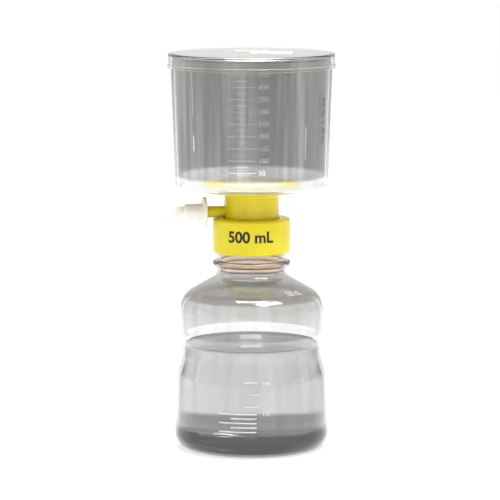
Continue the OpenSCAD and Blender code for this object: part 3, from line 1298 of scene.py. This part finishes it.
@dataclass
class Lid:
    """The loose clear lid, with a locating ring inside the rim and a beaded skirt outside it."""

    ring_r: float = 47.3
    ring_wall: float = 1.0
    ring_depth: float = 2.2
    skirt_r: float = 50.5
    bead: float = 0.4
    bead_height: float = 2.0
    low: float = cad_end("lid", LOW, "z")
    top: float = cad_end("lid", HIGH, "z")
    reach: float = cad_end("lid", HIGH, "x")

    def build(self, finish: Material) -> Object:
        """Builds the lid.

        Args:
            finish: the lid's plastic.

        Returns:
            The lid.
        """
        ring, ring_end = self.ring_r + self.ring_wall, RIM_Z - self.ring_depth
        side, bead_top = self.reach - self.bead, self.low + self.bead_height
        outline = rounded(
            [
                Corner(0, RIM_Z),
                Corner(self.ring_r, RIM_Z, 0.25),
                Corner(self.ring_r, ring_end, 0.25),
                Corner(ring, ring_end, 0.25),
                Corner(ring, RIM_Z, 0.25),
                Corner(self.skirt_r, RIM_Z, 0.4),
                Corner(self.skirt_r, self.low, 0.15),
                Corner(self.reach, self.low, 0.4),
                Corner(self.reach, bead_top, 0.4),
                Corner(side, bead_top + 0.2, 0.2),
                Corner(side, self.top, 1.2),
                Corner(0, self.top),
            ],
            closed=False,
            steps=10,
        )
        return new_object("lid_shell", turned(outline, 240), finish)

    def dress(self, plastic: Material) -> None:
        """Builds the lid and lets it ride on its body."""
        place(self.build(plastic), Body.LID, Slot.LID, ["lid"])


@dataclass
class Collar:
    """The threaded collar with its printed reading."""

    bore: float = 22.6
    hole: float = 17.5
    ceiling: float = 1.8
    low: float = cad_end("threaded_collar", LOW, "z")
    top: float = cad_end("threaded_collar", HIGH, "z")
    reach: float = cad_end("threaded_collar", HIGH, "x")

    def build(self, finish: Material) -> Object:
        """Builds the collar's wall, ceiling and inner thread.

        Args:
            finish: the collar's plastic.

        Returns:
            The collar.
        """
        under = self.top - self.ceiling
        outline = rounded(
            [
                Corner(self.hole, under, 0.2),
                Corner(self.bore, under, 0.4),
                Corner(self.bore, self.low, 0.3),
                Corner(self.reach, self.low, 1.0),
                Corner(self.reach, self.top, 1.8),
                Corner(self.hole, self.top, 0.25),
            ],
            closed=True,
        )
        collar = new_object("collar_ring", turned(outline, ring=True), finish)
        grow_on(collar, ThreadRidge(root=23.8, crest=21.3, start=127.55).build("collar_thread", finish))
        return collar

    def build_print(self, ink: Material) -> Object:
        """Builds the printed reading on the collar's front.

        Args:
            ink: the black ink.

        Returns:
            The print.
        """
        wall = {"radius": self.reach + INK_GAP, "lean": 0.0}
        reading = Print("500 mL", size=9.6, z=134.0, across=-15.3, bold=0.3, slice=0.5, **wall)
        return reading.build("collar_print", ink)

    def dress(self, plastic: Material, ink: Material) -> None:
        """Builds the collar's pieces and lets them ride on its body.

        Args:
            plastic: the collar's plastic.
            ink: the black ink.
        """
        place(self.build(plastic), Body.COLLAR, Slot.LEMON, ["threaded_collar"])
        place(self.build_print(ink), Body.COLLAR, None)


@dataclass
class FunnelBase:
    """The yellow funnel base: stem, flange, drain tube and side arm in one moulding."""

    arm_r: float = 3.6
    arm_bore: float = 2.1
    arm_reach: float = 39.0
    drain_r: float = 5.5
    wall: float = 1.3
    stem_z: float = 141.95
    stem_top: float = 158.65
    stem_r: float = 17.2
    stem_top_r: float = 16.7
    stem_bore: float = 14.7
    bowl_r: float = 24.5
    flange: float = 2.7
    tip_z: float = 126.45
    tip_slant: float = 30.0
    top: float = cad_end("funnel_base", HIGH, "z")

    def bar(self, name: str, radius: float, start: float, end: float, finish: Material) -> Object:
        """Builds a round bar along the side arm.

        Args:
            name: the piece's name.
            radius: its radius.
            start: its distance from the axis.
            end: how far it reaches.
            finish: its plastic.

        Returns:
            The bar.
        """
        corners = [Corner(0, start), Corner(radius, start), Corner(radius, end, 0.3), Corner(0, end)]
        mesh = turned(rounded(corners, closed=False, steps=6), 64)
        lay_on_arm(mesh)
        return new_object(name, mesh, finish)

    def build(self, finish: Material) -> Object:
        """Builds the whole moulding.

        Args:
            finish: its plastic.

        Returns:
            The funnel base.
        """
        bore, bowl = self.drain_r - self.wall, self.stem_top - self.wall
        outline = rounded(
            [
                Corner(bore, self.tip_z),
                Corner(bore, bowl, 2),
                Corner(self.bowl_r, self.top, 0.2),
                Corner(FLANGE_R, self.top, 0.3),
                Corner(FLANGE_R, self.top - self.flange, 0.5),
                Corner(self.stem_top_r, self.stem_top, 1.6),
                Corner(self.stem_r, self.stem_z, 0.25),
                Corner(self.stem_bore, self.stem_z, 0.2),
                Corner(self.stem_bore, bowl + 0.65, 0.4),
                Corner(self.drain_r, bowl - self.wall, 0.6),
                Corner(self.drain_r, self.tip_z),
            ],
            closed=True,
        )
        funnel = new_object("funnel", turned(outline, 160, ring=True), finish)
        for v in funnel.data.vertices:
            if v.co.z < (self.tip_z + 0.01) * MM:
                v.co.z += max(0.0, -v.co.x) * math.tan(math.radians(self.tip_slant))
        root, start, past = self.stem_bore + 0.5, self.stem_bore - 1.7, self.arm_reach + 2
        cut(funnel, self.bar("arm", self.arm_r, root, self.arm_reach, finish), "UNION")
        cut(funnel, self.bar("arm_bore", self.arm_bore, start, past, finish), "DIFFERENCE")
        smooth(funnel.data)
        return funnel

    def dress(self, plastic: Material) -> None:
        """Builds the funnel base and lets it ride on the head."""
        place(self.build(plastic), Body.HEAD, Slot.MUSTARD, ["funnel_base"])


@dataclass
class TubingAdapter:
    """The ivory hose adapter that is pushed onto the side arm."""

    socket_r: float = 3.65
    socket_end: float = 39.05
    flange_r: float = 9.2
    flange: float = 2.4
    body_r: float = 5.15
    body_end: float = 42.0
    spigot_r: float = 3.5
    bore: float = 2.2
    near: float = -cad_end("tubing_adapter", HIGH, "x")
    far: float = -cad_end("tubing_adapter", LOW, "x")

    def build(self, finish: Material) -> Object:
        """Builds the adapter.

        Args:
            finish: its plastic.

        Returns:
            The adapter.
        """
        outline = rounded(
            [
                Corner(self.socket_r, self.near, 0.3),
                Corner(self.flange_r, self.near, 0.6),
                Corner(self.flange_r, self.near + self.flange, 1.0),
                Corner(self.body_r, self.near + self.flange, 0.7),
                Corner(self.body_r, self.body_end, 1.2),
                Corner(self.spigot_r, self.body_end, 0.4),
                Corner(self.spigot_r, self.far, 0.6),
                Corner(self.bore, self.far, 0.3),
                Corner(self.bore, self.socket_end, 0.15),
                Corner(self.socket_r, self.socket_end, 0.15),
            ],
            closed=True,
        )
        mesh = turned(outline, 96, ring=True)
        lay_on_arm(mesh)
        return new_object("adapter_body", mesh, finish)

    def dress(self, plastic: Material) -> None:
        """Builds the adapter and lets it ride on its body."""
        place(self.build(plastic), Body.ADAPTER, Slot.IVORY, ["tubing_adapter"])


# ---------------------------------------------------------------- studio


def aimed(eye: Vector, target: Vector) -> Matrix:
    """Returns the placing of a lamp or a camera that looks from one point at another."""
    return Matrix.Translation(eye) @ (target - eye).to_track_quat("-Z", "Y").to_matrix().to_4x4()


@dataclass
class Softbox:
    """A soft studio lamp.

    Its angles are counted from the unit's front and from the level, in degrees, and its
    lengths are in metres.
    """

    name: str
    azimuth: float
    elevation: float
    distance: float
    wide: float
    high: float
    level: float

    def build(self, target: Vector) -> None:
        """Adds the lamp.

        Args:
            target: the point that it is turned towards.
        """
        lamp = bpy.data.lights.new(self.name, "AREA")
        lamp.shape, lamp.size, lamp.size_y = "RECTANGLE", self.wide, self.high
        lamp.energy = self.level * self.wide * self.high * math.pi
        a, e = math.radians(FRONT + self.azimuth), math.radians(self.elevation)
        ray = Vector((math.sin(a) * math.cos(e), -math.cos(a) * math.cos(e), math.sin(e)))
        lamp_object = bpy.data.objects.new(self.name, lamp)
        lamp_object.matrix_world = aimed(target + self.distance * ray, target)
        lamp_object.visible_camera = False
        bpy.context.scene.collection.objects.link(lamp_object)


@dataclass
class Studio:
    """The pale floor, the soft light and the camera. Its lengths are in metres."""

    distance: float = 1.915
    height: float = 0.373
    aim: float = 0.123
    lens: float = 223.8
    shift: tuple[float, float] = (-0.0032, 0.0022)
    floor_size: float = 20.0
    floor_glow: float = 0.71
    world_level: float = 0.72

    def seen(self, tree: NodeTree) -> Node:
        """Adds the nodes that tell the rays which should see a white room.

        Args:
            tree: the tree of the floor or of the world.

        Returns:
            The node with 1 for a ray from the camera, a gloss or a clear piece, and else 0.
        """
        rays = add_node(tree, "ShaderNodeLightPath").outputs
        straight = (rays["Is Camera Ray"], rays["Is Glossy Ray"])
        bent = (add_node(tree, "ShaderNodeMath", straight, operation="ADD"), rays["Is Transmission Ray"])
        return add_node(tree, "ShaderNodeMath", bent, operation="ADD", use_clamp=True)

    def build_floor(self) -> None:
        """Adds the floor: pale, with the unit's soft shadow kept."""
        work = bmesh.new()
        bmesh.ops.create_grid(work, x_segments=2, y_segments=2, size=self.floor_size)
        mesh = bpy.data.meshes.new("floor")
        work.to_mesh(mesh)
        work.free()
        made = bpy.data.materials.new("pale_floor")
        made.use_nodes = True
        tree = made.node_tree
        tree.nodes.clear()
        matt = add_node(tree, "ShaderNodeBsdfDiffuse", {"Color": linear("#EDEDED")})
        thin = add_node(tree, "ShaderNodeBsdfDiffuse", {"Color": linear("#AAAAAA")})
        glow = add_node(tree, "ShaderNodeEmission", {"Color": linear("#FFFFFF"), "Strength": self.floor_glow})
        lit = add_node(tree, "ShaderNodeAddShader", (thin, glow))
        mix = add_node(tree, "ShaderNodeMixShader", (self.seen(tree), matt, lit))
        add_node(tree, "ShaderNodeOutputMaterial", {"Surface": mix})
        new_object("floor", mesh, made)

    def build_world(self) -> None:
        """Makes the world white to the eye and a soft fill to the surfaces."""
        world = bpy.data.worlds.new("studio")
        world.use_nodes = True
        tree = world.node_tree
        tree.nodes.clear()
        limits = {"Value": self.seen(tree), "To Min": self.world_level, "To Max": 1.0}
        level = add_node(tree, "ShaderNodeMapRange", limits)
        back = add_node(tree, "ShaderNodeBackground", {"Color": linear("#FFFFFF"), "Strength": level})
        add_node(tree, "ShaderNodeOutputWorld", {"Surface": back})
        bpy.context.scene.world = world

    def build_camera(self, target: Vector) -> None:
        """Adds the camera, level with the eye of someone at the bench.

        Args:
            target: the point that it is turned towards.
        """
        data = bpy.data.cameras.new("camera")
        data.lens, data.sensor_width, data.clip_end = self.lens, 36.0, 100.0
        data.shift_x, data.shift_y = self.shift
        camera = bpy.data.objects.new("camera", data)
        a = math.radians(FRONT)
        eye = Vector((math.sin(a) * self.distance, -math.cos(a) * self.distance, self.height))
        camera.matrix_world = aimed(eye, target)
        bpy.context.scene.collection.objects.link(camera)
        bpy.context.scene.camera = camera

    def build(self) -> None:
        """Builds the floor, the world, the camera and the lamps."""
        target = Vector((0, 0, self.aim))
        self.build_floor()
        self.build_world()
        self.build_camera(target)
        # The columns: name, azimuth, elevation, distance, wide, high, level.
        for lamp in (
            Softbox("overhead", 47, 62, 1.5, 0.9, 0.5, 12.0),
            Softbox("top", 0, 89, 1.2, 0.7, 0.7, 13.0),
            Softbox("left_strip", -92, 2.5, 0.7, 0.025, 0.06, 2.2),
            Softbox("left_spot", -92, -3.0, 0.7, 0.03, 0.02, 6.0),
            Softbox("right_strip", 84, -3.2, 0.7, 0.03, 0.045, 4.0),
            Softbox("left_edge", -143, 2, 0.9, 0.05, 0.5, 1.6),
            Softbox("right_edge", 143, 2, 0.9, 0.05, 0.5, 1.6),
            Softbox("lid_kicker", 179.1, 8.34, 1.5, 0.05, 0.012, 10.0),
            Softbox("water_kicker", 180, 6.75, 1.5, 0.04, 0.008, 1.7),
        ):
            lamp.build(target)


# ---------------------------------------------------------------- the whole scene


def dress_cad_nodes(finishes: dict[str, Material]) -> None:
    """Gives the CAD nodes that stay in view their finishes.

    Args:
        finishes: node name to material.
    """
    for name, finish in finishes.items():
        node_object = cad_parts[name]
        if not node_object.material_slots:
            node_object.data.materials.append(finish)
        for slot in node_object.material_slots:
            slot.material = finish


def main() -> None:
    """Builds the unit's pieces in order, from the foot up, and then the studio."""
    bpy.context.scene.view_settings.view_transform = "Standard"
    funnel = FUNNEL_PLASTIC.build()
    ReceiverBottle().dress(BOTTLE_PLASTIC.build(), StillWater().build(), MARKS_PAINTED_HIGHLIGHT.build())
    Collar().dress(COLLAR_PLASTIC.build(), BLACK_INK.build())
    FunnelBase().dress(funnel)
    TubingAdapter().dress(ADAPTER_PLASTIC.build())
    UpperChamber().dress(CHAMBER_PLASTIC.build(), PALE_INK.build(), GREY_INK.build())
    Lid().dress(LID_PLASTIC.build())
    dress_cad_nodes(
        {
            "seal_flange": funnel,
            "neck_gasket": GASKET_RUBBER.build(),
            "vent_plug": PackedFibre().build(),
            "support_grid": GRID_PLASTIC.build(),
            "membrane": MembraneFilm().build(),
        }
    )
    Studio().build()


if __name__ == "__main__":
    logging.basicConfig(level=logging.INFO, format="%(message)s")
    main()
